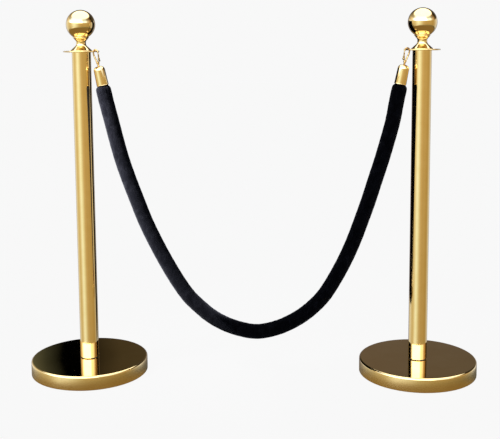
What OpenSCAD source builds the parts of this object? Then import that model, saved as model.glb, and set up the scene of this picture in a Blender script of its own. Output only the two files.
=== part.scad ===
// Pair of ball-top rope posts joined by one hanging velvet rope.
// The origin is on the floor midway between the posts. X runs from post to post,
// -Y is the side that the hooks are on, and Z is up. All sizes are millimetres.

/* [Posts] */
// Distance between the two posts' axes
post_spacing = 911; // [903:1:919]
// Height of the rope plate's top face above the floor
plate_top = 889; // [885:1:893]
// Outer diameter of the tube
tube_d = 50.8; // [48:0.1:54]
// Wall of the tube
tube_wall = 1.5; // [1:0.1:2.5]

/* [Base] */
// Diameter of the spun base cover
base_d = 320; // [300:1:360]
// Height of the base cover's top above the floor
base_h = 39.5; // [36:0.5:42]
// Radius of the base cover's rounded top edge
base_edge = 5; // [3:0.5:8]
// Thickness of the spun cover
cover_t = 1.2; // [0.8:0.1:2]

/* [Rope plate] */
// Diameter of the rope plate
plate_d = 96; // [96:0.5:102]
// Thickness of the rope plate
plate_t = 3; // [2.5:0.1:3.5]
// Diameter of each hook hole
hook_hole_d = 13; // [12:0.1:13.5]

/* [Finial] */
// Diameter of the ball
ball_d = 77.6; // [72:0.1:80]
// Height of the ball's centre above the rope plate
ball_rise = 70.5; // [68:0.5:74]
// Radius of the neck's waist
waist_r = 13; // [11:0.5:15]

/* [Rope] */
// Diameter of the velvet rope
rope_d = 40; // [36:0.5:42]
// Tilt of the hooks and end caps from upright, where the rope pulls them
hook_tilt = 11; // [9:0.5:13]
// Length of an end cap
cap_len = 52; // [48:1:56]
// Radius of an end cap at its mouth
cap_r = 16.4; // [16.2:0.1:17]

/* [Hook] */
// Radius of the hook's wire
wire_r = 2; // [1.8:0.1:2.1]
// Radius of the bend, to the middle of the wire
bend_r = 7.5; // [7.2:0.1:7.8]
// Angle that the gate opens inward
gate_open = 25; // [15:1:25]

/* [Hidden] */
$fn = 96;
SIDES = ["left", "right"];
POST_PARTS = ["base_weight", "base_cover", "floor_ring", "base_bolt", "base_washer", "lock_washer",
    "foot_gasket", "foot_plug", "tube", "top_plug", "rope_plate", "finial_stud", "neck", "ball",
    "ball_insert"];
ROPE_PARTS = ["end_cap", "cap_rivet", "stem_washer", "swivel_stem", "hook_body", "hook_gate",
    "gate_pin", "gate_spring"];

gap = 0.1;              // easy fit between pieces that are fixed together
run = 0.05;             // radial clearance of a pin that turns
tube_r = tube_d / 2;
bore_r = tube_r - tube_wall;
gasket_t = 2;
tube_foot = base_h + gasket_t;
plate_foot = plate_top - plate_t;
base_r = base_d / 2;
skirt_z = 1.5;          // the cover's lower edge stands clear of the floor
ring_h = 6.5;
web_z = 16;             // underside of the weight's web
bolt_r = 6;
stud_r = 5;
ball_r = ball_d / 2;
ball_wall = 1.8;
ball_z = plate_top + ball_rise;

hole_ring_r = plate_d / 2 - 4 - hook_hole_d / 2;   // the rim outside each hook hole is 4 wide
land_r = plate_d / 2 - 2;                          // middle of that rim
hook_y = -20;                                      // the rope hangs this far in front of the posts
plate_turn = asin(hook_y / land_r);
hook_x = -post_spacing / 2 + land_r * cos(plate_turn);
hook_z = plate_top + 1.2;                          // inside of the hook's bend, over the plate's rim

// Heights along a hook and its end cap, down from the inside of the bend
cap_top = 43;
cap_mouth = cap_top + cap_len;
cap_wall = 1.6;
leg_end = 8.5;
pivot_u = 5.2;
pivot_s = 28;
pin_r = 1.25;
lug_r = 3.2;
stem_r = 2;

// The rope's middle line as [x, z], in the plane y = hook_y, from cap to cap
ROUTE = [[-403, 831], [-399, 812], [-396, 796], [-395, 789], [-388, 756], [-375, 703],
    [-362, 648], [-348, 595], [-330, 540], [-310, 485], [-289, 429], [-264, 374], [-236, 319],
    [-204, 263], [-173, 218], [-145, 190], [-116, 165], [-83, 145], [-46, 130], [11, 119],
    [65, 129], [103, 145], [138, 166], [168, 191], [195, 220], [223, 264], [252, 319],
    [276, 374], [296, 429], [315, 484], [332, 539], [349, 593], [364, 646], [378, 700],
    [388, 756], [395, 789], [396, 796], [399, 812], [403, 831]];
ROPE_SIDES = 12;
TUCKED_R = [cap_r - cap_wall - 1.3, cap_r - cap_wall - 0.8, cap_r - cap_wall - 0.3];   // inside the tapered cap

// ---- helpers ---------------------------------------------------------------

// Points of an arc about [x, y], from angle a to angle b
function arc(x, y, r, a, b, steps = 12) =
    [for (i = [0 : steps]) let (t = a + (b - a) * i / steps) [x + r * cos(t), y + r * sin(t)]];

// Unit vector of v
function unit(v) = v / norm(v);

// Direction of the rope at point i of its route, in [x, z]
function heading(i) =
    let (last = len(ROUTE) - 1)
    unit(ROUTE[min(i + 1, last)] - ROUTE[max(i - 1, 0)]);

// Radius of the rope at point i: it is drawn in where the end caps hold it
function rope_r(i) =
    let (from_end = min(i, len(ROUTE) - 1 - i))
    from_end < len(TUCKED_R) ? TUCKED_R[from_end] : rope_d / 2;

// One ring of the rope's surface about point i of its route
function rope_ring(i) =
    let (h = heading(i), side = [-h[1], h[0]])
    [for (k = [0 : ROPE_SIDES - 1])
        let (t = 360 * k / ROPE_SIDES)
        [ROUTE[i][0] + rope_r(i) * cos(t) * side[0], hook_y - rope_r(i) * sin(t),
            ROUTE[i][1] + rope_r(i) * cos(t) * side[1]]];

// Mirrors what belongs to the right-hand post
module on_side(side) {
    mirror([side == "right" ? 1 : 0, 0, 0]) children();
}

// Moves a turned piece onto the left-hand post's axis
module on_post() {
    translate([-post_spacing / 2, 0, 0]) children();
}

// A ring with a plain bore
module ring(r, bore, h) {
    difference() {
        cylinder(r = r, h = h);
        translate([0, 0, -1]) cylinder(r = bore, h = h + 2);
    }
}

// The frame of a hook: Z runs up along the end cap, and the origin is inside the bend
module hook_frame() {
    translate([hook_x, hook_y, hook_z]) rotate([0, -hook_tilt, 0]) rotate([0, 0, plate_turn]) children();
}

// A round bar between two points in the hook's own plane
module bar(from, to, r) {
    run_x = to[0] - from[0];
    run_z = to[1] - from[1];
    translate([from[0], 0, from[1]])
        rotate([0, atan2(run_x, run_z), 0])
            cylinder(r = r, h = norm([run_x, run_z]), $fn = 48);
}

// A round joint where two bars meet, a hair fuller than the bars
module knuckle(at, r) {
    translate([at[0], 0, at[1]]) sphere(r = r + 0.03, $fn = 48);
}

// A cylinder across the hook's plane, centred on it
module cross_pin(at, r, h) {
    translate([at[0], h / 2, at[1]]) rotate([90, 0, 0]) cylinder(r = r, h = h, $fn = 64);
}

// ---- base ------------------------------------------------------------------

// Cast-iron disc that keeps the post upright, hollow underneath and drilled for the bolt
module base_weight() {
    color("dimgray") on_post() difference() {
        rotate_extrude($fn = 128) polygon([[bolt_r + 0.5, web_z], [base_r - 22, web_z],
            [base_r - 19, ring_h], [base_r - cover_t - 0.8, ring_h],
            [base_r - cover_t - 0.8, base_h - cover_t - base_edge],
            [base_r - cover_t - base_edge - 0.8, base_h - cover_t - 0.2],
            [bolt_r + 0.5, base_h - cover_t - 0.2]]);
    }
}

// Spun brass cover over the weight, with a rounded top edge
module base_cover() {
    in_r = base_r - cover_t;
    in_top = base_h - cover_t;
    in_edge = base_edge - cover_t;
    outside = arc(base_r - base_edge, base_h - base_edge, base_edge, 0, 90);
    inside = arc(base_r - base_edge, base_h - base_edge, in_edge, 90, 0);
    color("gold") on_post() rotate_extrude($fn = 180)
        polygon(concat([[in_r, skirt_z], [base_r, skirt_z]], outside,
            [[bolt_r + 0.5, base_h], [bolt_r + 0.5, in_top]], inside));
}

// Rubber ring that the post stands on
module floor_ring() {
    color("black") on_post() rotate_extrude($fn = 128)
        polygon([[base_r - 18, 1], [base_r - 17, 0], [base_r - 4, 0], [base_r - 3, 1],
            [base_r - 3, ring_h], [base_r - 18, ring_h]]);
}

// Hexagon bolt that clamps weight, cover and tube together
module base_bolt() {
    head_z = web_z - 5 - 7.5;
    color("silver") on_post() union() {
        translate([0, 0, head_z]) cylinder(r = 11, h = 7.5, $fn = 6);
        translate([0, 0, head_z + 7]) cylinder(r = bolt_r, h = base_h + 20 - head_z - 7, $fn = 48);
    }
}

// Wide flat washer under the weight
module base_washer() {
    color("silver") on_post() translate([0, 0, web_z - 2.5]) ring(14, bolt_r + 0.3, 2.5);
}

// Split spring washer, cut through at a slant
module lock_washer() {
    color("silver") on_post() translate([0, 0, web_z - 5]) difference() {
        ring(10.5, bolt_r + 0.3, 2.5);
        rotate([20, 0, 0]) translate([5, -0.5, -4]) cube([8, 1, 10]);
    }
}

// Dark gasket between the cover and the tube, set back to leave a shadow line
module foot_gasket() {
    color("black") on_post() translate([0, 0, base_h]) ring(tube_r - 1, bolt_r + 0.5, gasket_t);
}

// ---- post ------------------------------------------------------------------

// Threaded plug pressed into the tube's foot
module foot_plug() {
    color("silver") on_post() translate([0, 0, tube_foot]) ring(bore_r - gap, bolt_r + gap, 30);
}

// Polished tube
module tube() {
    color("gold") on_post() translate([0, 0, tube_foot])
        ring(tube_r, bore_r, plate_foot - tube_foot, $fn = 128);
}

// Threaded plug pressed into the tube's top
module top_plug() {
    color("silver") on_post() translate([0, 0, plate_foot - 25]) ring(bore_r - gap, stud_r + gap, 25);
}

// Disc with four hook holes and a rounded rim
module rope_plate() {
    rim = 0.9;
    plate_r = plate_d / 2;
    profile = concat([[stud_r + 0.3, plate_foot]],
        arc(plate_r - rim, plate_foot + rim, rim, -90, 0, 6),
        arc(plate_r - rim, plate_top - rim, rim, 0, 90, 6), [[stud_r + 0.3, plate_top]]);
    color("gold") on_post() difference() {
        rotate_extrude($fn = 128) polygon(profile);
        for (k = [0 : 3])
            rotate([0, 0, plate_turn + 90 * k]) translate([hole_ring_r, 0, plate_foot - 1])
                cylinder(d = hook_hole_d, h = plate_t + 2, $fn = 64);
    }
}

// ---- finial ----------------------------------------------------------------

// Stud from the tube's top plug through the plate and the neck into the ball
module finial_stud() {
    color("silver") on_post() translate([0, 0, plate_foot - 18]) cylinder(r = stud_r, h = 70, $fn = 48);
}

// Turned neck: a flared foot, a narrow waist and a beaded cup under the ball
module neck() {
    bend = 11;
    foot_z = 20;
    cup_z = 22;
    bead_r = 1.9;
    bead_z = 36;
    flare = arc(waist_r + bend, foot_z, bend, 236, 180);
    cup = arc(waist_r + bend, cup_z, bend, 180, 126);
    bead = arc(19.3, bead_z, bead_r, -80, 80);
    foot = concat([[stud_r + 0.3, 0], [28, 0]], arc(27.4, 1.1, 1.1, -60, 70, 6));
    color("gold") on_post() translate([0, 0, plate_top]) difference() {
        rotate_extrude($fn = 96)
            polygon(concat(foot, flare, cup, bead, [[18, 40], [stud_r + 0.3, 40]]));
        translate([0, 0, ball_rise]) sphere(r = ball_r, $fn = 128);
    }
}

// Hollow ball
module ball() {
    color("gold") on_post() translate([0, 0, ball_z]) difference() {
        sphere(r = ball_r, $fn = 128);
        sphere(r = ball_r - ball_wall, $fn = 96);
        translate([0, 0, -ball_r - 1]) cylinder(r = 9, h = 12, $fn = 48);
    }
}

// Threaded boss brazed into the ball
module ball_insert() {
    color("silver") on_post() translate([0, 0, ball_z]) difference() {
        intersection() {
            translate([0, 0, -ball_r]) cylinder(r = 9 - gap, h = 26, $fn = 48);
            sphere(r = ball_r, $fn = 128);
        }
        translate([0, 0, -ball_r - 1]) cylinder(r = stud_r + gap, h = 22, $fn = 48);
    }
}

// ---- rope and its ends -----------------------------------------------------

// Velvet-covered rope, hanging between the two end caps
module rope() {
    rings = len(ROUTE);
    last = rings - 1;
    points = [for (i = [0 : last]) each rope_ring(i)];
    walls = [for (i = [0 : last - 1]) for (k = [0 : ROPE_SIDES - 1])
        let (a = i * ROPE_SIDES + k, b = i * ROPE_SIDES + (k + 1) % ROPE_SIDES)
        [a, b, b + ROPE_SIDES, a + ROPE_SIDES]];
    start = [for (k = [ROPE_SIDES - 1 : -1 : 0]) k];
    end = [for (k = [0 : ROPE_SIDES - 1]) last * ROPE_SIDES + k];
    color("black") polyhedron(points, concat([start], walls, [end]), convexity = 6);
}

// Domed brass cap over the rope's end
module end_cap() {
    dome = 11;
    top_r = cap_r - 1.2;
    outside = arc(top_r - dome, -cap_top - dome, dome, 0, 90);
    inside = arc(top_r - dome, -cap_top - dome, dome - cap_wall, 90, 0);
    color("gold") hook_frame() rotate_extrude($fn = 96)
        polygon(concat([[cap_r - cap_wall, -cap_mouth], [cap_r, -cap_mouth]], outside,
            [[stem_r + run, -cap_top], [stem_r + run, -cap_top - cap_wall]], inside));
}

// Small brad through the back of the cap into the rope
module cap_rivet() {
    color("gold") hook_frame() rotate([0, 0, -plate_turn]) translate([0, 0, -cap_mouth + 16])
        rotate([-90, 0, 0]) union() {
            translate([0, 0, 9]) cylinder(r = 1.2, h = 7.2, $fn = 32);
            translate([0, 0, 16.15]) cylinder(r = 2.4, h = 0.7, $fn = 32);
        }
}

// Washer that the swivel stem's head turns on, inside the cap
module stem_washer() {
    color("silver") hook_frame() translate([0, 0, -cap_top - cap_wall - 1])
        ring(4, stem_r + run, 1, $fn = 48);
}

// Swivel stem: a headed pin through the cap's crown, with two beads under the hook
module swivel_stem() {
    head = cap_top + cap_wall + 1.1;
    color("gold") hook_frame() rotate_extrude($fn = 48)
        polygon(concat([[0, -head - 2.4], [4.6, -head - 2.4], [4.6, -head], [stem_r, -head],
                [stem_r, -cap_top + 0.2]],
            arc(stem_r - 0.3, -41.4, 1.2, -70, 70, 6), arc(stem_r - 0.3, -38.7, 1.5, -70, 70, 6),
            [[stem_r - gap, -36.9], [stem_r - gap, -33.5], [0, -33.5]]));
}

// Cast hook: hub, spine, bend and nose, with a lug that carries the gate
module hook_body() {
    spine = [[-bend_r, -5.5], [-bend_r, -12], [-2.2, -32]];
    lug = [pivot_u, -pivot_s];
    color("gold") hook_frame() difference() {
        union() {
            translate([0, 0, -bend_r + wire_r]) rotate([90, 0, 0])
                rotate_extrude(angle = 180, $fn = 96) translate([bend_r, 0]) circle(r = wire_r, $fn = 48);
            bar([bend_r, -5.5], [bend_r, -leg_end], wire_r);
            bar(spine[0], spine[1], wire_r);
            knuckle(spine[1], wire_r);
            bar(spine[1], spine[2], wire_r);
            rotate_extrude($fn = 64) polygon([[0, -36.8], [3.2, -36.8], [4.2, -35.2], [4.3, -33.6],
                [3.6, -31.8], [2.4, -30.8], [0, -30.6]]);
            bar([1.5, -32.5], lug, 1.6);
            cross_pin(lug, lug_r, 3);
        }
        cross_pin(lug, pin_r, 8);
        cross_pin(lug, 2.3, 1.6);
        translate([0, 0, -38]) cylinder(r = stem_r, h = 4.6, $fn = 48);
    }
}

// Gate: a bar with two ears that straddle the hook's lug
module hook_gate() {
    lug = [pivot_u, -pivot_s];
    root = [pivot_u + 0.6, -pivot_s + 5.2];
    tip = [bend_r - 0.1, -10.9];
    color("gold") hook_frame() difference() {
        union() {
            knuckle(tip, 1.8);
            bar(root, tip, 1.8);
            cross_pin(root, 2, 5.6);
            cross_pin(lug, 2.7, 6);
            translate([pivot_u + 0.3, 0, -pivot_s + 2.6]) rotate([0, 6.6, 0])
                cube([3.8, 5.8, 5.2], center = true);
        }
        cross_pin(lug, pin_r + run, 8);
        cross_pin(lug, lug_r + 0.3, 3.6);
    }
}

// Pin that the gate turns on, riveted over at both ends
module gate_pin() {
    lug = [pivot_u, -pivot_s];
    color("silver") hook_frame() union() {
        cross_pin(lug, pin_r, 7);
        for (at = [-3.4, 3.4]) translate([0, at, 0]) cross_pin(lug, 1.9, 0.6);
    }
}

// Coil spring around the pin, inside the lug, that shuts the gate
module gate_spring() {
    color("silver") hook_frame() translate([pivot_u, 0.75, -pivot_s]) rotate([90, 0, 0])
        rotate_extrude($fn = 48) polygon([[1.4, 0], [2.1, 0.25], [1.6, 0.5], [2.1, 0.75],
            [1.6, 1], [2.1, 1.25], [1.4, 1.5]]);
}

// ---- the nodes -------------------------------------------------------------

rope();
for (side = SIDES) {
    on_side(side) base_weight();
    on_side(side) base_cover();
    on_side(side) floor_ring();
    on_side(side) base_bolt();
    on_side(side) base_washer();
    on_side(side) lock_washer();
    on_side(side) foot_gasket();
    on_side(side) foot_plug();
    on_side(side) tube();
    on_side(side) top_plug();
    on_side(side) rope_plate();
    on_side(side) finial_stud();
    on_side(side) neck();
    on_side(side) ball();
    on_side(side) ball_insert();
    on_side(side) end_cap();
    on_side(side) cap_rivet();
    on_side(side) stem_washer();
    on_side(side) swivel_stem();
    on_side(side) hook_body();
    on_side(side) hook_gate();
    on_side(side) gate_pin();
    on_side(side) gate_spring();
}
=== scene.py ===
# %% [markdown]
# A pair of ball-top rope posts stands on a pale floor, joined by a hanging velvet
# rope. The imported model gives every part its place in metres, so this lesson only
# has to make the parts beautiful: brass that mirrors a studio, and velvet that
# drinks the light. The first cell loads the model and keeps the box it fills, to
# be compared with the finished pieces at the end.

import math

import bpy
import numpy as np
from mathutils import Matrix, Vector


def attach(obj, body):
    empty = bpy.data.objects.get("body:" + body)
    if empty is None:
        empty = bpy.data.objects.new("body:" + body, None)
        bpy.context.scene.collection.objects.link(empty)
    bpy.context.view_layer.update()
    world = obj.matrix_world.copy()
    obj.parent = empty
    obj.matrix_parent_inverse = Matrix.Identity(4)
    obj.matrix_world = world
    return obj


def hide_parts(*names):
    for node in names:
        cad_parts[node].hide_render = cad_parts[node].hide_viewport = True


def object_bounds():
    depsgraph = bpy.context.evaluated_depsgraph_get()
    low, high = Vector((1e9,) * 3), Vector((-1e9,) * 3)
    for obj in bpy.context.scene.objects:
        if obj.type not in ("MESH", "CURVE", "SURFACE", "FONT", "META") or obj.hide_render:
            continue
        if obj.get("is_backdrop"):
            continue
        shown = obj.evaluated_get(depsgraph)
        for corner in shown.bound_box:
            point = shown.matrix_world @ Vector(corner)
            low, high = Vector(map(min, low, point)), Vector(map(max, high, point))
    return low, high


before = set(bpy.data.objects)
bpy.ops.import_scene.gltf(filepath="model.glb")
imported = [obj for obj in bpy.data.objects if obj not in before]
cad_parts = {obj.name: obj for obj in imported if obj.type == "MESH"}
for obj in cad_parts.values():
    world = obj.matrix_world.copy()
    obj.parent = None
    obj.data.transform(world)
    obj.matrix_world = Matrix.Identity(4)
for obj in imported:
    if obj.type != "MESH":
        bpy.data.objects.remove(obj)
model_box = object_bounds()
MM = 0.001
print("parts in the packed model:", len(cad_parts))
print("model box:", [round(v, 4) for corner in model_box for v in corner])

# %% [markdown]
# The camera comes first, because everything is judged through it. It stands 2.5 m
# in front of the posts and 0.94 m above the floor, just higher than the rope plates
# and just lower than the balls. A camera looks along its own -Z axis. Three small
# rotations, multiplied from left to right, turn it to face the posts, tip it down
# by 7 degrees and level it. A small vertical shift keeps the posts upright in the
# frame, as a view camera does.

# %% Camera
camera_data = bpy.data.cameras.new("view_camera")
camera = bpy.data.objects.new("view_camera", camera_data)
bpy.context.collection.objects.link(camera)
turn = Matrix.Rotation(0.03402, 4, "Z")
tip = Matrix.Rotation(math.pi / 2 - 0.12161, 4, "X")
level = Matrix.Rotation(-0.00668, 4, "Z")
camera.matrix_world = Matrix.Translation((0.08153, -2.5, 0.93887)) @ turn @ tip @ level
camera_data.sensor_width = 36
camera_data.lens = 67.09
camera_data.shift_y = -0.149
camera_data.clip_start = 0.05
bpy.context.scene.camera = camera
print("camera:", [round(v, 3) for v in camera.location], "lens", camera_data.lens)

# %% [markdown]
# The rope is a fixed length of something limp that hangs between its two brass
# caps. Its middle line is a short list of points, from the left cap to the right
# one, the same as in the CAD model. A smooth curve through them is found in two
# steps: a Catmull-Rom spline, which passes through every point, and then a walk
# along it in equal strides, so that the rings of the rope are evenly spaced.

# %% The rope's route
ROUTE = [
    (-403, 831), (-399, 812), (-396, 796), (-395, 789), (-388, 756), (-375, 703),
    (-362, 648), (-348, 595), (-330, 540), (-310, 485), (-289, 429), (-264, 374),
    (-236, 319), (-204, 263), (-173, 218), (-145, 190), (-116, 165), (-83, 145), (-46, 130),
    (11, 119), (65, 129), (103, 145), (138, 166), (168, 191), (195, 220), (223, 264),
    (252, 319), (276, 374), (296, 429), (315, 484), (332, 539), (349, 593), (364, 646),
    (378, 700), (388, 756), (395, 789), (396, 796), (399, 812), (403, 831),
]
ROPE_Y = -0.02
ROPE_R = 0.02


def smooth_route(points, stride=0.004):
    """Evenly spaced points on a Catmull-Rom spline through the given ones."""
    p = np.array(points, float) * MM
    p = np.vstack([2 * p[0] - p[1], p, 2 * p[-1] - p[-2]])
    fine = []
    for a, b, c, d in zip(p, p[1:], p[2:], p[3:]):
        ka = np.linalg.norm(b - a) ** 0.5
        kb = ka + np.linalg.norm(c - b) ** 0.5
        kc = kb + np.linalg.norm(d - c) ** 0.5
        for t in np.linspace(ka, kb, 24, endpoint=False):
            ab = (ka - t) / ka * a + t / ka * b
            bc = (kb - t) / (kb - ka) * b + (t - ka) / (kb - ka) * c
            cd = (kc - t) / (kc - kb) * c + (t - kb) / (kc - kb) * d
            abc = (kb - t) / kb * ab + t / kb * bc
            bcd = (kc - t) / (kc - ka) * bc + (t - ka) / (kc - ka) * cd
            fine.append((kb - t) / (kb - ka) * abc + (t - ka) / (kb - ka) * bcd)
    fine = np.array(fine + [p[-2]])
    walked = np.r_[0, np.cumsum(np.linalg.norm(np.diff(fine, axis=0), axis=1))]
    even = np.linspace(0, walked[-1], int(walked[-1] / stride) + 1)
    line = np.stack([np.interp(even, walked, fine[:, k]) for k in (0, 1)], axis=1)
    for _ in range(6):
        line[1:-1] = (line[:-2] + 2 * line[1:-1] + line[2:]) / 4
    return line, walked[-1]


line, rope_length = smooth_route(ROUTE)
print("rope length:", round(rope_length, 3), "m in", len(line), "rings")

# %% [markdown]
# A velvet rope is a soft core inside a sewn sleeve of pile fabric. The sleeve is
# tucked into each cap, so just outside the mouth it is gathered into small folds
# that fade over a few centimetres. Where the rope bends, the inner side is a touch
# too long and ripples. All of this is a change of radius, ring by ring, so the
# tube is made straight from numbers. The same numbers give every corner a place on
# a map, in metres round and along the rope, which the velvet finish reads.

# %% The velvet rope
SIDES = 56


def rope_radius(s, from_end, bend, around):
    """Radius of the sleeve at distance s, at the angles around it."""
    if from_end < 0.036:
        held = np.interp(from_end, [0, 0.0195, 0.036], [13.4, 13.9, 14.4]) * MM
        return np.full(around.shape, held)
    out = from_end - 0.036
    swell = np.interp(out, [0, 0.0015, 0.005, 0.009, 0.016], [14.4, 15.9, 18.6, 19.7, 20.1]) * MM
    folds = np.exp(-out / 0.02) * min(1, out / 0.003) * (
        0.55 * np.cos(15 * around + 2.0) + 0.35 * np.cos(9 * around + 0.6)
        + 0.3 * np.cos(23 * around + 31 * out))
    ripple = 0.10 * np.sin(2 * math.pi * s / 0.031 + 1.3 * np.cos(around))
    ripple += 0.08 * np.sin(2 * math.pi * s / 0.0171 + 2 * around)
    inner = np.clip(np.cos(around) * np.sign(bend), 0, 1) * min(1, abs(bend) / 3.5)
    ripple += 0.16 * inner * np.sin(2 * math.pi * s / 0.0145)
    seam = -0.55 * np.exp(-((around - 1.5 * math.pi) / 0.055) ** 2)
    return swell + (folds + ripple + seam) * MM


def rope_mesh(line):
    tangent = np.gradient(line, axis=0)
    tangent /= np.linalg.norm(tangent, axis=1)[:, None]
    stride = np.linalg.norm(np.diff(line, axis=0), axis=1)
    walked = np.r_[0, np.cumsum(stride)]
    heading = np.unwrap(np.arctan2(tangent[:, 1], tangent[:, 0]))
    bends = np.gradient(heading, walked)
    around = np.linspace(0, 2 * math.pi, SIDES, endpoint=False)
    points, faces, uvs = [], [], []
    for (x, z), (tx, tz), s, bend in zip(line, tangent, walked, bends):
        r = rope_radius(s, min(s, walked[-1] - s), bend, around)
        ring = np.stack([x - r * np.cos(around) * tz, ROPE_Y - r * np.sin(around),
                         z + r * np.cos(around) * tx], axis=1)
        points.extend(ring)
    last = len(line) - 1
    for i in range(last):
        for k in range(SIDES):
            n = (k + 1) % SIDES
            faces.append((i * SIDES + k, i * SIDES + n, (i + 1) * SIDES + n, (i + 1) * SIDES + k))
            u = [k * 2 * math.pi * ROPE_R / SIDES, (k + 1) * 2 * math.pi * ROPE_R / SIDES]
            v = [walked[i], walked[i + 1]]
            uvs += [(u[0], v[0]), (u[1], v[0]), (u[1], v[1]), (u[0], v[1])]
    faces.append(tuple(range(SIDES - 1, -1, -1)))
    faces.append(tuple(last * SIDES + k for k in range(SIDES)))
    uvs += [(0, 0)] * (2 * SIDES)
    return points, faces, uvs


points, faces, uvs = rope_mesh(line)
mesh = bpy.data.meshes.new("velvet_rope")
mesh.from_pydata(points, [], faces)
sleeve_map = mesh.uv_layers.new(name="along_the_rope")
sleeve_map.data.foreach_set("uv", np.array(uvs).ravel())
velvet_rope = bpy.data.objects.new("velvet_rope", mesh)
bpy.context.collection.objects.link(velvet_rope)


def select_only(piece):
    """Makes one piece the only selected and active one, in object mode."""
    if bpy.context.object and bpy.context.object.mode != "OBJECT":
        bpy.ops.object.mode_set(mode="OBJECT")
    bpy.ops.object.select_all(action="DESELECT")
    if piece is not None:
        piece.select_set(True)
        bpy.context.view_layer.objects.active = piece


select_only(velvet_rope)
bpy.ops.object.mode_set(mode="EDIT")
bpy.ops.mesh.select_all(action="SELECT")
bpy.ops.mesh.normals_make_consistent(inside=False)
bpy.ops.object.mode_set(mode="OBJECT")
bpy.ops.object.shade_smooth_by_angle(angle=math.radians(60))
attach(velvet_rope, "rope")
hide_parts("rope")
print("velvet rope:", len(mesh.polygons), "faces")

# %% [markdown]
# Almost every brass part of a post was made on a lathe: the tube, the base cover,
# the neck, the ball and the caps of the rope are all round. In Blender the lathe is
# the spin tool. Half of the part's section is drawn as a chain of points in the XZ
# plane, each one extruded from the last, and the chain is spun about the Z axis. A
# section that ends where it began makes a closed wall. Doubled points are merged,
# so that no seam is left, and the normals are then made to point outwards.

# %% A lathe
POST_X = -0.4555


def arc(x, z, r, start, end, steps=10):
    """Points of an arc, in millimetres and degrees."""
    turns = [math.radians(start + (end - start) * i / steps) for i in range(steps + 1)]
    return [(x + r * math.cos(t), z + r * math.sin(t)) for t in turns]


def turned(name, section, steps=128, at=(0, 0, 0), crease=32):
    """Turns a section of (radius, height) points, in millimetres, on a lathe."""
    select_only(None)
    bpy.ops.mesh.primitive_plane_add(size=0.002)
    piece = bpy.context.object
    piece.name = piece.data.name = name
    bpy.ops.object.mode_set(mode="EDIT")
    bpy.ops.mesh.select_all(action="SELECT")
    bpy.ops.mesh.merge(type="CENTER")
    r, z = section[0]
    bpy.ops.transform.translate(value=(r * MM, 0, z * MM))
    for next_r, next_z in section[1:]:
        step = ((next_r - r) * MM, 0, (next_z - z) * MM)
        bpy.ops.mesh.extrude_region_move(TRANSFORM_OT_translate={"value": step})
        r, z = next_r, next_z
    bpy.ops.mesh.select_all(action="SELECT")
    bpy.ops.mesh.spin(steps=steps, angle=2 * math.pi, center=(0, 0, 0), axis=(0, 0, 1))
    bpy.ops.mesh.select_all(action="SELECT")
    bpy.ops.mesh.remove_doubles(threshold=1e-6)
    bpy.ops.mesh.normals_make_consistent(inside=False)
    bpy.ops.transform.translate(value=at)
    bpy.ops.object.mode_set(mode="OBJECT")
    piece.matrix_world = Matrix.Identity(4)
    bpy.ops.object.shade_smooth_by_angle(angle=math.radians(crease))
    print(f"{name}: {len(piece.data.polygons)} faces")
    return piece


def closed(section):
    return section + [section[0]]


# %% [markdown]
# The two posts are the same, so each part is made once for the left-hand post and
# copied. The posts stand either side of the middle, and the hooks are mirror images
# of each other, so a copy is a mirror image in X. A mirrored mesh is inside out, so
# its normals are turned back. Each copy gets a mesh of its own.

# %% Copy a piece to the other side
def right_copy(piece, name):
    """A mirror image of a left-hand piece, with its own mesh."""
    select_only(piece)
    bpy.ops.object.duplicate(linked=False)
    copy = bpy.context.object
    copy.name = copy.data.name = name
    copy.scale = (-1, 1, 1)
    bpy.ops.object.transform_apply(location=False, rotation=False, scale=True)
    bpy.ops.object.mode_set(mode="EDIT")
    bpy.ops.mesh.select_all(action="SELECT")
    bpy.ops.mesh.normals_make_consistent(inside=False)
    bpy.ops.object.mode_set(mode="OBJECT")
    return copy


def settle(piece, part, body):
    """Rides the left piece and its right copy on their bodies, in place of the CAD part."""
    pair = [piece, right_copy(piece, piece.name.replace("left_", "right_", 1))]
    for side, one in zip(("left", "right"), pair):
        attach(one, body.format(side))
        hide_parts(f"{side}_{part}")
    return pair


# %% [markdown]
# The base is a heavy iron disc under a spun brass cover 320 mm across. The cover is
# one thin sheet: a flat top, a rounded edge and a straight skirt that stops just
# short of the floor. Its section is drawn out along the outside and back along the
# inside. The skirt's lower edge is slightly rolled, which catches a thin line of
# light.

# %% Base covers
BASE_R, BASE_H, EDGE_R, SHEET = 160, 39.5, 5, 1.2
outside = arc(BASE_R - 0.5, 2.0, 0.5, -90, 0, 3) + arc(BASE_R - EDGE_R, BASE_H - EDGE_R, EDGE_R, 0, 90, 16)
inside = [(6.5, BASE_H), (6.5, BASE_H - SHEET)]
inside += arc(BASE_R - EDGE_R, BASE_H - EDGE_R, EDGE_R - SHEET, 90, 0, 10)
inside += [(BASE_R - SHEET, 1.5)]
left_cover = turned("left_spun_cover", closed(outside + [(60, BASE_H)] + inside), 224, (POST_X, 0, 0), 40)
covers = settle(left_cover, "base_cover", "posts")

# %% [markdown]
# The tube is 50.8 mm across with a 1.5 mm wall, and its two ends have a small
# chamfer where the saw marks were turned away. A tall mirror needs very few faces:
# along its length it is straight, so one long face per side is exact.

# %% Tubes
tube_section = [(25.0, 41.5), (25.4, 41.9), (25.4, 885.7), (25.1, 886), (23.9, 886), (23.9, 41.5)]
left_tube = turned("left_post_tube", closed(tube_section), 160, (POST_X, 0, 0), 20)
tubes = settle(left_tube, "tube", "posts")

# %% [markdown]
# The neck is the most turned part of the post. From the plate upwards it has a thin
# flared foot, a narrow waist, a cup and a bead under the ball. Four arcs in a chain
# give that profile, and the top is hollowed to seat the ball.

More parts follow.
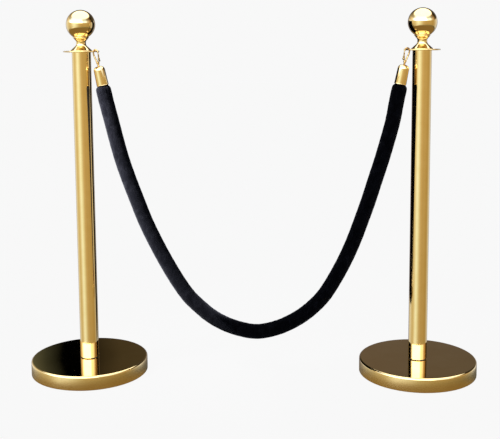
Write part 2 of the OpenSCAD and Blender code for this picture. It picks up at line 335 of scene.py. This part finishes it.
# %% Turned necks
PLATE_TOP = 889
BALL_R, BALL_Z = 38.8, 959.5
waist = 13
neck_section = [(5.3, 0), (28.0, 0)] + arc(27.4, 1.1, 1.1, -56, 72, 8)
neck_section += arc(waist + 11, 20, 11, 236, 180, 18) + arc(waist + 11, 22, 11, 180, 126, 18)[1:]
neck_section += arc(19.3, 36, 1.9, -80, 80, 12)
seat = math.degrees(math.asin(18.2 / BALL_R))
neck_section += arc(0, BALL_Z - PLATE_TOP, BALL_R + 0.02, -90 + seat, -90 + 8, 8)
neck_section = [(r, z + PLATE_TOP) for r, z in neck_section]
left_neck = turned("left_turned_neck", closed(neck_section), 128, (POST_X, 0, 0), 28)
necks = settle(left_neck, "neck", "posts")

# %% [markdown]
# The ball is 78 mm across and hollow. Its section is an outer arc from the opening
# under it up to the crown, then an inner arc back down, so one spin makes the whole
# shell. A mirror shows every bump in its mesh, so the arc has many points and the
# spin many steps.

# %% Balls
opening = math.degrees(math.asin(9 / BALL_R))
shell = arc(0, BALL_Z, BALL_R, -90 + opening, 90, 72)
shell += arc(0, BALL_Z, BALL_R - 1.8, 90, -90 + opening, 36)
left_ball = turned("left_ball", closed(shell), 160, (POST_X, 0, 0), 40)
balls = settle(left_ball, "ball", "posts")

# %% [markdown]
# The rope plate is a 96 mm disc with four 13 mm holes for hooks. A cylinder is a
# good start here: its edges are bevelled into a soft rim, and four thin cylinders
# cut the holes through a boolean modifier. A second, much smaller bevel then takes
# the sharp corner off each hole, as a countersink would.

# %% Rope plates
PLATE_R, PLATE_T = 48, 3
HOLE_R, HOLE_RING_R, STUD_HOLE_R = 6.5, 37.5, 5.3
RIM_R = PLATE_R - 2                              # where a hook rests, on the rim outside its hole
HOLE_TURN = math.degrees(math.asin(-20 / RIM_R))  # turns the first hole to face the other post


def disc(radius, depth, vertices, x=0, y=0):
    """A cylinder with an upright axis, at the height of the rope plate."""
    select_only(None)
    place = Vector((x, y, PLATE_TOP - PLATE_T / 2)) * MM
    bpy.ops.mesh.primitive_cylinder_add(vertices=vertices, radius=radius * MM, depth=depth * MM,
                                        location=place)
    return bpy.context.object


def drilled_plate(name):
    plate = disc(PLATE_R, PLATE_T, 160)
    plate.name = plate.data.name = name
    bpy.ops.object.transform_apply(location=True, rotation=True, scale=True)
    bpy.ops.object.mode_set(mode="EDIT")
    bpy.ops.mesh.select_all(action="SELECT")
    bpy.ops.mesh.bevel(offset=0.9 * MM, offset_type="OFFSET", segments=5)
    bpy.ops.object.mode_set(mode="OBJECT")
    turns = [math.radians(HOLE_TURN + 90 * k) for k in range(4)]
    drills = [disc(HOLE_R, 12, 64, HOLE_RING_R * math.cos(a), HOLE_RING_R * math.sin(a)) for a in turns]
    drills.append(disc(STUD_HOLE_R, 12, 48))
    for drill in drills:
        select_only(plate)
        cut = plate.modifiers.new("hole", "BOOLEAN")
        cut.operation, cut.solver, cut.object = "DIFFERENCE", "EXACT", drill
        bpy.ops.object.modifier_apply(modifier=cut.name)
        select_only(drill)
        bpy.ops.object.delete()
    select_only(plate)
    soften = plate.modifiers.new("countersink", "BEVEL")
    soften.width, soften.segments = 0.25 * MM, 2
    soften.limit_method, soften.angle_limit = "ANGLE", math.radians(60)
    bpy.ops.object.modifier_apply(modifier=soften.name)
    bpy.ops.object.mode_set(mode="EDIT")
    bpy.ops.mesh.select_all(action="SELECT")
    bpy.ops.mesh.normals_make_consistent(inside=False)
    bpy.ops.transform.translate(value=(POST_X, 0, 0))
    bpy.ops.object.mode_set(mode="OBJECT")
    bpy.ops.object.shade_smooth_by_angle(angle=math.radians(30))
    print(f"{name}: {len(plate.data.polygons)} faces")
    return plate


plates = settle(drilled_plate("left_drilled_plate"), "rope_plate", "posts")

# %% [markdown]
# A hook and its cap hang in one line that leans 11 degrees out from the post. They
# are easiest to model standing upright at the origin, and then turned and moved
# into that line. The place is baked into the mesh, so that the finished object
# sits at the origin, unturned, like every other one.

# %% The line that a hook hangs in
hook_point = Vector((-0.414075, -0.02, 0.8902))
lean = Matrix.Rotation(math.radians(-11), 4, "Y") @ Matrix.Rotation(math.radians(HOLE_TURN), 4, "Z")
hook_frame = Matrix.Translation(hook_point) @ lean


def hang(piece):
    """Moves a piece that was modelled upright into the hook's line, in its mesh."""
    select_only(piece)
    piece.matrix_world = hook_frame
    bpy.ops.object.transform_apply(location=True, rotation=True, scale=True)
    return piece


print("hook point:", [round(v, 4) for v in hook_point])

# %% [markdown]
# Each end of the rope is tucked into a spun brass cap, a slightly tapered tube with
# a domed crown. A plain cup would look thin, so the mouth has a rolled lip, and the
# crown carries a shallow turned step round the stem.

# %% End caps
CAP_TOP, CAP_MOUTH, CAP_R, CAP_WALL = 43, 95, 16.4, 1.6
DOME_R, DOME_X, STEM_HOLE_R = 11, 4.2, 2.05      # the crown's arc, its centre and the hole in it
outer = [(CAP_R - 1.0, -CAP_MOUTH)] + arc(CAP_R - 0.75, -CAP_MOUTH + 0.75, 0.75, -70, 60, 8)
outer += [(CAP_R - 0.42, -CAP_MOUTH + 1.75), (CAP_R - 0.38, -CAP_MOUTH + 2.6)]
outer += arc(DOME_X - 0.1, -CAP_TOP - DOME_R, DOME_R, 0, 84, 24)
outer += [(4.6, -CAP_TOP - 0.02), (4.3, -CAP_TOP), (STEM_HOLE_R, -CAP_TOP)]
inner = [(STEM_HOLE_R, -CAP_TOP - CAP_WALL)]
inner += arc(DOME_X, -CAP_TOP - DOME_R, DOME_R - CAP_WALL, 88, 0, 12)
left_cap = hang(turned("left_spun_cap", closed(outer + inner), 112, crease=30))
caps = settle(left_cap, "end_cap", "rope")

# %% [markdown]
# Above the crown a short swivel stem lets the hook turn without twisting the rope.
# It has two small beads, one under the other, which read as two bright dots.

# %% Swivel stems
HEAD = CAP_TOP + CAP_WALL + 1.1
stem_section = [(0, -HEAD - 2.4), (4.3, -HEAD - 2.4), (4.6, -HEAD - 2.1), (4.6, -HEAD)]
stem_section += [(2, -HEAD), (2, -42.8)]
stem_section += arc(1.7, -41.4, 1.2, -70, 70, 10) + arc(1.7, -38.7, 1.5, -70, 70, 10)
stem_section += [(1.9, -36.9), (1.9, -33.6), (0, -33.5)]
left_stem = hang(turned("left_swivel_bead_stem", stem_section, 56, crease=30))
stems = settle(left_stem, "swivel_stem", "{}_hook")

# %% [markdown]
# The snap hook is a casting, so nothing on it is sharp: every bar melts into the
# next. The bend is a disc of wire spun half a turn, the legs are its two ends
# pulled down, and the hub, the lug and the spine are turned or drawn separately.
# The pieces are joined and remeshed into one skin of tiny cells, and the skin is
# smoothed, which leaves a fillet in every corner, as the mould does.

# %% Cast hook helpers
WIRE_R, BEND_R = 2.0, 7.5
LUG = Vector((5.2, 0, -28))


def bar(start, end, r, r_end=None, sides=32):
    """A round bar in the hook's plane, drawn out from a disc, in millimetres."""
    a, b = Vector((start[0], 0, start[1])) * MM, Vector((end[0], 0, end[1])) * MM
    select_only(None)
    bpy.ops.mesh.primitive_circle_add(vertices=sides, radius=r * MM, fill_type="NGON")
    piece = bpy.context.object
    bpy.ops.object.mode_set(mode="EDIT")
    bpy.ops.mesh.select_all(action="SELECT")
    bpy.ops.mesh.extrude_region_move(TRANSFORM_OT_translate={"value": (0, 0, (b - a).length)})
    if r_end:
        grow = r_end / r
        bpy.ops.transform.resize(value=(grow, grow, 1))
    bpy.ops.mesh.select_all(action="SELECT")
    bpy.ops.mesh.normals_make_consistent(inside=False)
    bpy.ops.object.mode_set(mode="OBJECT")
    piece.matrix_world = Matrix.Translation(a) @ (b - a).to_track_quat("Z", "Y").to_matrix().to_4x4()
    bpy.ops.object.transform_apply(location=True, rotation=True, scale=True)
    return piece


def cross_bar(at, r, h, sides=40):
    """A cylinder across the hook's plane."""
    select_only(None)
    bpy.ops.mesh.primitive_cylinder_add(vertices=sides, radius=r * MM, depth=h * MM,
                                        location=Vector((at[0], 0, at[-1])) * MM,
                                        rotation=(math.pi / 2, 0, 0))
    bpy.ops.object.transform_apply(location=True, rotation=True, scale=True)
    return bpy.context.object


def round_end(at, r):
    select_only(None)
    bpy.ops.mesh.primitive_uv_sphere_add(segments=32, ring_count=16, radius=r * MM,
                                         location=Vector((at[0], 0, at[1])) * MM)
    bpy.ops.object.transform_apply(location=True, rotation=True, scale=True)
    return bpy.context.object


def wire_bend():
    """The hook's bend: a disc of wire spun half a turn about the bend's centre."""
    select_only(None)
    bpy.ops.mesh.primitive_circle_add(vertices=40, radius=WIRE_R * MM, fill_type="NGON",
                                      location=(BEND_R * MM, 0, (-BEND_R + WIRE_R) * MM))
    bpy.ops.object.transform_apply(location=True, rotation=True, scale=True)
    piece = bpy.context.object
    bpy.ops.object.mode_set(mode="EDIT")
    bpy.ops.mesh.select_all(action="SELECT")
    bpy.ops.mesh.spin(steps=32, angle=math.pi, axis=(0, 1, 0),
                      center=(0, 0, (-BEND_R + WIRE_R) * MM))
    bpy.ops.mesh.select_all(action="SELECT")
    bpy.ops.mesh.remove_doubles(threshold=1e-6)
    bpy.ops.mesh.normals_make_consistent(inside=False)
    bpy.ops.object.mode_set(mode="OBJECT")
    return piece


def cast(name, parts, cell=0.3, cuts=()):
    """Joins the parts, melts them into one skin, smooths it and cuts what is machined."""
    select_only(parts[0])
    for other in parts[1:]:
        other.select_set(True)
    bpy.ops.object.join()
    piece = bpy.context.object
    piece.name = piece.data.name = name
    melt = piece.modifiers.new("melt", "REMESH")
    melt.mode, melt.voxel_size = "VOXEL", cell * MM
    bpy.ops.object.modifier_apply(modifier=melt.name)
    soften = piece.modifiers.new("soften", "SMOOTH")
    soften.factor, soften.iterations = 0.5, 6
    bpy.ops.object.modifier_apply(modifier=soften.name)
    for tool in cuts:
        select_only(piece)
        cut = piece.modifiers.new("machined", "BOOLEAN")
        cut.operation, cut.solver, cut.object = "DIFFERENCE", "EXACT", tool
        bpy.ops.object.modifier_apply(modifier=cut.name)
        select_only(tool)
        bpy.ops.object.delete()
    select_only(piece)
    piece.data.materials.clear()
    bpy.ops.object.shade_smooth_by_angle(angle=math.radians(40))
    print(f"{name}: {len(piece.data.polygons)} faces")
    return piece


# %% Cast hooks
hub_section = [(0, -36.8), (3.2, -36.8), (4.2, -35.2), (4.3, -33.6), (3.6, -31.8), (2.4, -30.8), (0, -30.6)]
hub = turned("hub", hub_section, 48)
hook_parts = [
    wire_bend(),
    bar((BEND_R, -5.4), (BEND_R, -8.3), WIRE_R),
    bar((-BEND_R, -5.4), (-BEND_R, -12), WIRE_R),
    round_end((-BEND_R, -12), WIRE_R),
    bar((-BEND_R, -12), (-2.2, -32), WIRE_R, 2.2),
    hub,
    bar((1.5, -32.5), (LUG.x, LUG.z), 1.7),
    cross_bar(LUG, 3.2, 3),
]
left_hook = hang(cast("left_cast_hook", hook_parts, cuts=[cross_bar(LUG, 1.25, 8)]))
hooks = settle(left_hook, "hook_body", "{}_hook")

# %% [markdown]
# The gate is a short bar that closes the hook's mouth. It has two ears that
# straddle the lug, and a slot is machined between them, so the slot is cut after
# the casting is melted and smoothed.

# %% Gates
gate_root, gate_tip = (5.8, -22.8), (7.4, -10.9)
web = bar((5.4, -27.6), (5.9, -22.8), 2.5)
select_only(web)
gate_parts = [
    round_end(gate_tip, 1.8),
    bar(gate_root, gate_tip, 1.8),
    cross_bar((gate_root[0], 0, gate_root[1]), 2, 5.6),
    cross_bar(LUG, 2.7, 6),
    web,
]
slot_tools = [cross_bar(LUG, 3.5, 3.6), cross_bar(LUG, 1.3, 8)]
left_gate = hang(cast("left_gate_bar", gate_parts, 0.25, slot_tools))
gates = settle(left_gate, "hook_gate", "{}_gate")

# %% [markdown]
# Now the finishes. A material is a small network of nodes. Each finish here starts
# with a Principled BSDF, the shader that stands for most real surfaces, and a few
# noise patterns that vary its roughness, colour and bump, because no real surface
# is the same all over. Patterns read Object coordinates, which are metres in the
# model's own space, so a scale of 400 means detail about 2.5 mm across.

# %% A small kit for wiring nodes
def adder(tree):
    """A function that adds a node to a tree: a socket is linked, another value is set."""
    def add(kind, inputs=None, **settings):
        node = tree.nodes.new(kind)
        for key, value in settings.items():
            setattr(node, key, value)
        for key, value in (inputs or {}).items():
            if isinstance(value, bpy.types.NodeSocket):
                tree.links.new(value, node.inputs[key])
            else:
                node.inputs[key].default_value = value
        return node

    return add


def new_finish(name):
    """A material, its Principled BSDF, and functions that add and join nodes."""
    material = bpy.data.materials.new(name)
    material.use_nodes = True
    tree = material.node_tree
    return material, tree.nodes["Principled BSDF"], adder(tree), tree.links.new


def noise(add, place, scale, detail, roughness=0.5, distortion=0.0):
    """A cloudy pattern, with features about 1 / scale metres across."""
    inputs = {"Vector": place, "Scale": scale, "Detail": detail}
    inputs.update({"Roughness": roughness, "Distortion": distortion})
    return add("ShaderNodeTexNoise", inputs).outputs[0]


def bumpy(add, height, strength, depth, under=None):
    """A bump made from a pattern, on top of another bump where one is given."""
    inputs = {"Height": height, "Strength": strength, "Distance": depth}
    if under is not None:
        inputs["Normal"] = under
    return add("ShaderNodeBump", inputs).outputs[0]


def spread(add, value, low, high, to_low, to_high):
    """Maps a pattern's range to another one."""
    return add("ShaderNodeMapRange", {0: value, 1: low, 2: high, 3: to_low, 4: to_high}).outputs[0]


def shades(add, value, stops):
    """A colour ramp of (position, colour) stops."""
    node = add("ShaderNodeValToRGB", {0: value})
    ramp = node.color_ramp
    while len(ramp.elements) < len(stops):
        ramp.elements.new(0.5)
    for element, (position, colour) in zip(ramp.elements, stops):
        element.position, element.color = position, (*colour, 1)
    return node.outputs[0]


# %% [markdown]
# Polished and lacquered brass is a mirror with a colour. It is pale gold where it
# reflects a lamp and deep gold where it reflects a dim room. What tells the eye
# that it is real is very slight: faint cloudy patches where the polish is less
# sharp, hair-fine rub marks that run round the turned parts, and a soft waviness.

# %% Polished brass
BRASS = (0.93, 0.70, 0.34)


def polished_brass():
    material, shader, add, join = new_finish("polished_brass")
    place = add("ShaderNodeTexCoord").outputs["Object"]
    clouds = noise(add, place, 38, 4, 0.6)
    stretched = add("ShaderNodeMapping", {"Vector": place, "Scale": (25, 25, 1600)}).outputs[0]
    rubs = noise(add, stretched, 1, 3)
    join(shades(add, clouds, [(0.35, (0.90, 0.665, 0.305)), (0.65, BRASS)]), shader.inputs["Base Color"])
    dull = spread(add, clouds, 0.35, 0.7, 0.045, 0.085)
    fine = spread(add, rubs, 0.3, 0.7, -0.012, 0.02)
    join(add("ShaderNodeMath", {0: dull, 1: fine}, operation="ADD").outputs[0], shader.inputs["Roughness"])
    join(bumpy(add, rubs, 0.02, 0.00005), shader.inputs["Normal"])
    shader.inputs["Metallic"].default_value = 1
    return material


POLISHED = polished_brass()
print("polished brass:", len(POLISHED.node_tree.nodes), "nodes")

# %% [markdown]
# The base cover is spun from sheet over a wooden form. Its top is polished like the
# tube. The straight side keeps the fine parallel lines of the spinning tool, so it
# is satin: it shows soft bands of light and dark instead of a picture of the room.
# The height of each point, in metres, tells the finish which of the two it is.

# %% Spun brass
def spun_brass():
    material, shader, add, join = new_finish("spun_brass")
    place = add("ShaderNodeTexCoord").outputs["Object"]
    height = add("ShaderNodeSeparateXYZ", {0: place}).outputs["Z"]
    side = spread(add, height, 0.0353, 0.0337, 0.0, 1.0)
    clouds = noise(add, place, 16, 5, 0.62)
    stretched = add("ShaderNodeMapping", {"Vector": place, "Scale": (14, 14, 2600)}).outputs[0]
    lines = noise(add, stretched, 1, 4)
    join(shades(add, clouds, [(0.32, (0.88, 0.64, 0.285)), (0.68, BRASS)]), shader.inputs["Base Color"])
    mirror = spread(add, clouds, 0.3, 0.75, 0.035, 0.075)
    satin = spread(add, lines, 0.3, 0.7, 0.17, 0.27)
    mixed = add("ShaderNodeMix", {0: side, 2: mirror, 3: satin})
    join(mixed.outputs[0], shader.inputs["Roughness"])
    depth = add("ShaderNodeMath", {0: side, 1: 0.35}, operation="MULTIPLY").outputs[0]
    join(bumpy(add, lines, depth, 0.00008), shader.inputs["Normal"])
    shader.inputs["Metallic"].default_value = 1
    return material


SPUN = spun_brass()
print("spun brass:", len(SPUN.node_tree.nodes), "nodes")

# %% [markdown]
# The hooks are cast and tumbled, not turned, so they are softer: a slightly uneven
# skin, and a little brown tarnish where the tumbling stones don't reach.

# %% Cast brass
def cast_brass():
    material, shader, add, join = new_finish("cast_brass")
    place = add("ShaderNodeTexCoord").outputs["Object"]
    grain = noise(add, place, 900, 5, 0.6)
    patches = noise(add, place, 150, 3)
    tarnish = [(0.34, (0.32, 0.19, 0.06)), (0.5, (0.58, 0.38, 0.14)), (0.7, (0.80, 0.57, 0.25))]
    join(shades(add, patches, tarnish), shader.inputs["Base Color"])
    join(spread(add, grain, 0.3, 0.7, 0.16, 0.3), shader.inputs["Roughness"])
    join(bumpy(add, grain, 0.25, 0.0001), shader.inputs["Normal"])
    shader.inputs["Metallic"].default_value = 1
    return material


CAST = cast_brass()
print("cast brass:", len(CAST.node_tree.nodes), "nodes")

# %% [markdown]
# Velvet is a field of tiny upright fibres. Seen straight on it swallows the light, and seen at a grazing angle
# the tips of the fibres catch it, so the edges of the rope glow faintly. The sheen setting does exactly that.
# The pile never lies quite the same way, so it catches the light more in some places than in others. That is
# painted into the colour as painted sheen: broad soft patches a little lighter or darker, and a fine lighter
# speckle for the tips. The fine ribs follow the rope's own map, so they bend with it.

# %% Velvet
def velvet():
    material, shader, add, join = new_finish("black_velvet")
    sleeve = add("ShaderNodeUVMap", uv_map="along_the_rope").outputs[0]
    place = add("ShaderNodeTexCoord").outputs["Object"]
    drawn = add("ShaderNodeMapping", {"Vector": place, "Scale": (1, 1, 0.55)}).outputs[0]
    patches = noise(add, drawn, 75, 4, 0.6, 0.6)
    tips = noise(add, place, 1500, 2)
    ribs = add("ShaderNodeTexWave", {"Vector": sleeve, "Scale": 320, "Distortion": 1.2, "Detail": 2},
               bands_direction="X").outputs[1]
    # Painted sheen: the colour is lighter in soft patches and in a fine speckle, where the pile would catch
    # the light.
    painted_sheen_mottle = add("ShaderNodeMath", {0: patches, 1: tips}, operation="MULTIPLY").outputs[0]
    black_and_painted_sheen = [(0.12, (0.0016, 0.0016, 0.0024)), (0.30, (0.006, 0.006, 0.0082)), (0.42, (0.015, 0.0152, 0.019))]
    join(shades(add, painted_sheen_mottle, black_and_painted_sheen), shader.inputs["Base Color"])
    pile = bumpy(add, tips, 0.35, 0.0004)
    soft = bumpy(add, patches, 0.5, 0.0012, pile)
    join(bumpy(add, ribs, 0.05, 0.0002, soft), shader.inputs["Normal"])
    join(spread(add, patches, 0.3, 0.7, 0.82, 1.0), shader.inputs["Roughness"])
    shader.inputs["Specular IOR Level"].default_value = 0.0
    shader.inputs["Sheen Weight"].default_value = 0.12
    shader.inputs["Sheen Roughness"].default_value = 0.45
    shader.inputs["Sheen Tint"].default_value = (0.62, 0.64, 0.74, 1)
    return material


VELVET = velvet()
print("velvet:", len(VELVET.node_tree.nodes), "nodes")

# %% [markdown]
# The parts that show only from below or close up still need honest finishes: black
# rubber for the floor ring and the gasket, painted iron for the weight, and zinc
# plate for bolts, washers, plugs, pins and springs. One recipe with different
# numbers makes all three.

# %% Rubber, iron and zinc
def plain_finish(name, dark, light, scale, rough, bump_mm, metal):
    material, shader, add, join = new_finish(name)
    place = add("ShaderNodeTexCoord").outputs["Object"]
    grain = noise(add, place, scale, 6, 0.65)
    join(shades(add, grain, [(0.3, dark), (0.7, light)]), shader.inputs["Base Color"])
    join(spread(add, grain, 0.3, 0.7, rough[0], rough[1]), shader.inputs["Roughness"])
    join(bumpy(add, grain, 0.5, bump_mm * MM), shader.inputs["Normal"])
    shader.inputs["Metallic"].default_value = metal
    print(f"{name}: {len(material.node_tree.nodes)} nodes")
    return material


RUBBER = plain_finish("black_rubber", (0.008, 0.008, 0.008), (0.02, 0.02, 0.021), 700, (0.5, 0.75), 0.1, 0)
IRON = plain_finish("painted_iron", (0.03, 0.03, 0.032), (0.07, 0.07, 0.072), 260, (0.45, 0.7), 0.5, 0)
ZINC = plain_finish("zinc_plate", (0.5, 0.5, 0.5), (0.72, 0.72, 0.70), 420, (0.25, 0.42), 0.05, 1)


# %% [markdown]
# Every part gets its finish, the new pieces and the CAD parts that are kept. A CAD
# part is never moved or reshaped, only given a material.

# %% Dress every part
def dress(piece, finish):
    piece.data.materials.clear()
    piece.data.materials.append(finish)


for piece in covers:
    dress(piece, SPUN)
for piece in tubes + necks + balls + plates + caps:
    dress(piece, POLISHED)
for piece in stems + hooks + gates:
    dress(piece, CAST)
dress(velvet_rope, VELVET)

NODE_FINISH = {
    "base_weight": IRON, "floor_ring": RUBBER, "foot_gasket": RUBBER, "base_bolt": ZINC,
    "base_washer": ZINC, "lock_washer": ZINC, "foot_plug": ZINC, "top_plug": ZINC,
    "finial_stud": ZINC, "ball_insert": CAST, "cap_rivet": CAST, "stem_washer": ZINC,
    "gate_pin": ZINC, "gate_spring": ZINC,
}
for side in ("left", "right"):
    for part, finish in NODE_FINISH.items():
        dress(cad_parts[f"{side}_{part}"], finish)
shown = [o for o in bpy.context.scene.objects if o.type == "MESH" and not o.hide_render]
print("finished parts:", len(shown))

# %% [markdown]
# Polished metal has no look of its own: it shows the studio. So the studio is drawn
# as a dome of light whose colour depends only on direction. Each list below is one
# ring of it, as (degrees, colour) stops round the horizon: 0 is straight in front
# of the posts, on the camera's side, and -90 is to their left. WALLS is what the
# upright tubes mirror, brightest at the front left, where a tall soft lamp stands,
# and deep gold at the front right. FLOOR_GLOW is lower down, for the sides of the
# bases. CEILING is above: bright in front, and nearly black behind the posts, which
# is why the flat tops of the bases look almost black.

# %% The rings of the studio dome
WALLS = [
    (-180, (0.20, 0.19, 0.24)), (-157, (0.30, 0.29, 0.36)), (-140, (0.75, 0.76, 0.85)),
    (-127, (0.92, 1.0, 1.12)), (-100, (0.82, 0.79, 0.65)), (-81, (0.74, 0.66, 0.43)),
    (-65, (0.86, 0.83, 0.62)), (-52, (1.04, 1.12, 1.10)), (-40, (1.12, 1.30, 1.36)),
    (-27, (1.03, 1.14, 1.06)), (-13, (0.84, 0.83, 0.65)), (-1, (0.69, 0.59, 0.37)),
    (12, (0.65, 0.51, 0.27)), (24, (0.58, 0.46, 0.24)), (48, (0.58, 0.45, 0.22)),
    (83, (0.50, 0.38, 0.17)), (103, (0.61, 0.55, 0.43)), (128, (0.85, 0.92, 1.10)),
    (146, (0.45, 0.45, 0.50)), (180, (0.20, 0.19, 0.24)),
]
FLOOR_GLOW = [
    (-180, (0.15, 0.14, 0.12)), (-140, (0.20, 0.19, 0.17)), (-103, (0.33, 0.29, 0.18)),
    (-75, (0.6, 0.55, 0.4)), (-52, (1.25, 1.3, 1.2)), (-38, (1.0, 0.95, 0.8)),
    (-5, (0.50, 0.48, 0.32)), (30, (0.33, 0.3, 0.16)), (56, (0.25, 0.22, 0.12)),
    (90, (0.17, 0.16, 0.10)), (125, (0.09, 0.1, 0.09)), (180, (0.1, 0.1, 0.1)),
]
CEILING = [
    (-180, (0.045, 0.037, 0.026)), (-169.3, (0.030, 0.024, 0.014)), (-167.8, (0.0, 0.0, 0.0)),
    (-164.9, (0.0, 0.0, 0.0)), (-164, (0.05, 0.055, 0.04)), (-122, (0.4, 0.36, 0.28)),
    (-96, (0.6, 0.6, 0.6)), (-79, (1.0, 1.3, 2.0)), (-64, (2.6, 2.9, 3.2)), (20, (2.6, 2.9, 3.2)),
    (32, (0.9, 1.05, 1.3)), (58, (0.8, 0.95, 1.2)), (70, (0.42, 0.42, 0.42)),
    (92, (0.28, 0.19, 0.10)), (112, (0.02, 0.014, 0.006)), (150, (0.05, 0.045, 0.038)),
    (180, (0.075, 0.062, 0.055)),
]
FLOOR_DEEP = (0.26, 0.18, 0.07, 1)
OVERHEAD = (2.4, 2.5, 2.6, 1)
FILL = (0.07, 0.07, 0.10, 1)
WHITE = (0.939, 0.939, 0.939, 1)
print("stops in the rings:", len(WALLS), len(FLOOR_GLOW), len(CEILING))

# %% [markdown]
# The dome is put together from the floor up. The way that a ray leaves is a vector
# of length one, so its Z is the sine of its height above the horizon. Each step
# blends the dome so far into the next ring between two such heights. A last pair of
# blends replaces the dome where it isn't wanted: the velvet sees an even dim fill,
# and the camera sees plain white. The Light Path node tells who is asking.

# %% The studio dome
world = bpy.data.worlds.new("studio")
bpy.context.scene.world = world
world.use_nodes = True
world.node_tree.nodes.clear()
put = adder(world.node_tree)
way = put("ShaderNodeSeparateXYZ", {0: put("ShaderNodeTexCoord").outputs["Generated"]}).outputs
to_camera = put("ShaderNodeMath", {0: way[1], 1: -1.0}, operation="MULTIPLY").outputs[0]
azimuth = put("ShaderNodeMath", {0: way[0], 1: to_camera}, operation="ARCTAN2").outputs[0]
round_dome = spread(put, azimuth, -math.pi, math.pi, 0.0, 1.0)


def ring_of(stops):
    """The colours of one ring, by the direction round the horizon."""
    return shades(put, round_dome, [((degrees + 180) / 360, colour) for degrees, colour in stops])


def rising(start, end, low=0.0, high=1.0, **settings):
    """A value that goes from low to high between two heights in the dome."""
    return put("ShaderNodeMapRange", {0: way[2], 1: start, 2: end, 3: low, 4: high}, **settings).outputs[0]


def blend(amount, first, second):
    return put("ShaderNodeMix", {0: amount, 6: first, 7: second}, data_type="RGBA").outputs[2]


def scaled(colour, amount):
    return put("ShaderNodeVectorMath", {0: colour, 3: amount}, operation="SCALE").outputs[0]


walls = scaled(ring_of(WALLS), rising(-0.32, -0.04, 0.86, 1.0))
below = blend(rising(-0.342, -0.322, 1.0, 0.0), walls, ring_of(FLOOR_GLOW))
below = blend(rising(-0.44, -0.38, 1.0, 0.0), below, FLOOR_DEEP)
above = scaled(ring_of(CEILING), rising(0.38, 0.46, 1.9, 1.0))
above = blend(rising(0.62, 0.72), above, OVERHEAD)
studio = blend(rising(0.165, 0.215, interpolation_type="SMOOTHSTEP"), below, above)
rays = put("ShaderNodeLightPath").outputs
seen = blend(rays["Is Camera Ray"], blend(rays["Is Diffuse Ray"], studio, FILL), WHITE)
glow = put("ShaderNodeBackground", {0: seen, 1: 1.0}).outputs[0]
put("ShaderNodeOutputWorld", {0: glow})
print("dome nodes:", len(world.node_tree.nodes))

# %% [markdown]
# The floor is one large pale sheet. It gives off its own light, so the posts leave
# hardly a shadow on it, as on a lit table. Mirrors see the dome below the horizon
# instead of the sheet. Two upright cards are black. The first stands between the
# posts and only mirrors see it: it puts the dark band down the inner side of each
# tube, which gives a round tube its shape. The second is a flag, which only casts a
# shadow: it keeps the lamp off the right-hand half of the rope.

# %% Floor, card and flag
def stage_finish(name, colour, glow=0.0):
    """A dead matt finish that may give off light."""
    material, shader, _, _ = new_finish(name)
    shader.inputs["Base Color"].default_value = (*colour, 1)
    shader.inputs["Roughness"].default_value = 1
    shader.inputs["Specular IOR Level"].default_value = 0
    shader.inputs["Emission Color"].default_value = (1, 1, 1, 1)
    shader.inputs["Emission Strength"].default_value = glow
    return material


def sheet(name, corners, finish):
    """A flat sheet with four given corners, two along one edge and two along the other."""
    select_only(None)
    bpy.ops.mesh.primitive_plane_add(size=1)
    piece = bpy.context.object
    piece.name = name
    for vertex, corner in zip(piece.data.vertices, corners):
        vertex.co = corner
    piece.data.materials.append(finish)
    return piece


BLACK = stage_finish("black_card", (0.004, 0.003, 0.002))


def upright_sheet(name, start, end, low, high):
    """A black sheet that stands between two places on the floor."""
    return sheet(name, [(*start, low), (*end, low), (*start, high), (*end, high)], BLACK)


floor = sheet("studio_floor", [(-15, -15, 0), (15, -15, 0), (-15, 15, 0), (15, 15, 0)],
              stage_finish("pale_floor", (0.004, 0.004, 0.004), 0.937))
floor.visible_glossy = floor.visible_diffuse = False
card = upright_sheet("black_card", (-0.262, 0.063), (0.036, 0.728), 0, 1.03)
card.visible_camera = card.visible_diffuse = card.visible_shadow = False
flag = upright_sheet("lamp_flag", (-0.12, -0.6), (-0.12, -0.045), 0.19, 1.2)
flag.visible_camera = flag.visible_glossy = flag.visible_diffuse = False
floor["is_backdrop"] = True
card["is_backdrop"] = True
flag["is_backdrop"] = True
print("stage:", [o.name for o in (floor, card, flag)])

# %% [markdown]
# One real lamp is enough, because the dome does the rest. It hangs to the left of
# the posts and only the velvet notices it: it lights the left side of the rope. The
# Standard view transform keeps white paper white and lets the lamps burn out in the
# brass, as a catalogue picture does.

# %% Lamp and picture settings
lamp_data = bpy.data.lights.new("left_lamp", "AREA")
lamp_data.shape, lamp_data.size, lamp_data.size_y = "RECTANGLE", 0.3, 0.5
lamp_data.energy = 9
lamp_data.color = (0.96, 0.97, 1.0)
lamp_data.spread = math.radians(55)
lamp = bpy.data.objects.new("left_lamp", lamp_data)
bpy.context.collection.objects.link(lamp)
lamp.location = (-0.95, -0.38, 1.15)
lamp.rotation_euler = (Vector((-0.31, -0.02, 0.52)) - lamp.location).to_track_quat("-Z", "Y").to_euler()
lamp.visible_glossy = False
bpy.context.scene.view_settings.view_transform = "Standard"
print("lamp power:", lamp_data.energy, "W")

# %% [markdown]
# Last, the finished pieces are compared with the box of the imported model.

# %% Check the size
look_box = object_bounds()
growth = [b - a for model, look in zip(model_box, look_box) for a, b in zip(model, look)]
print("grown by:", [round(g / MM, 2) for g in growth], "mm")
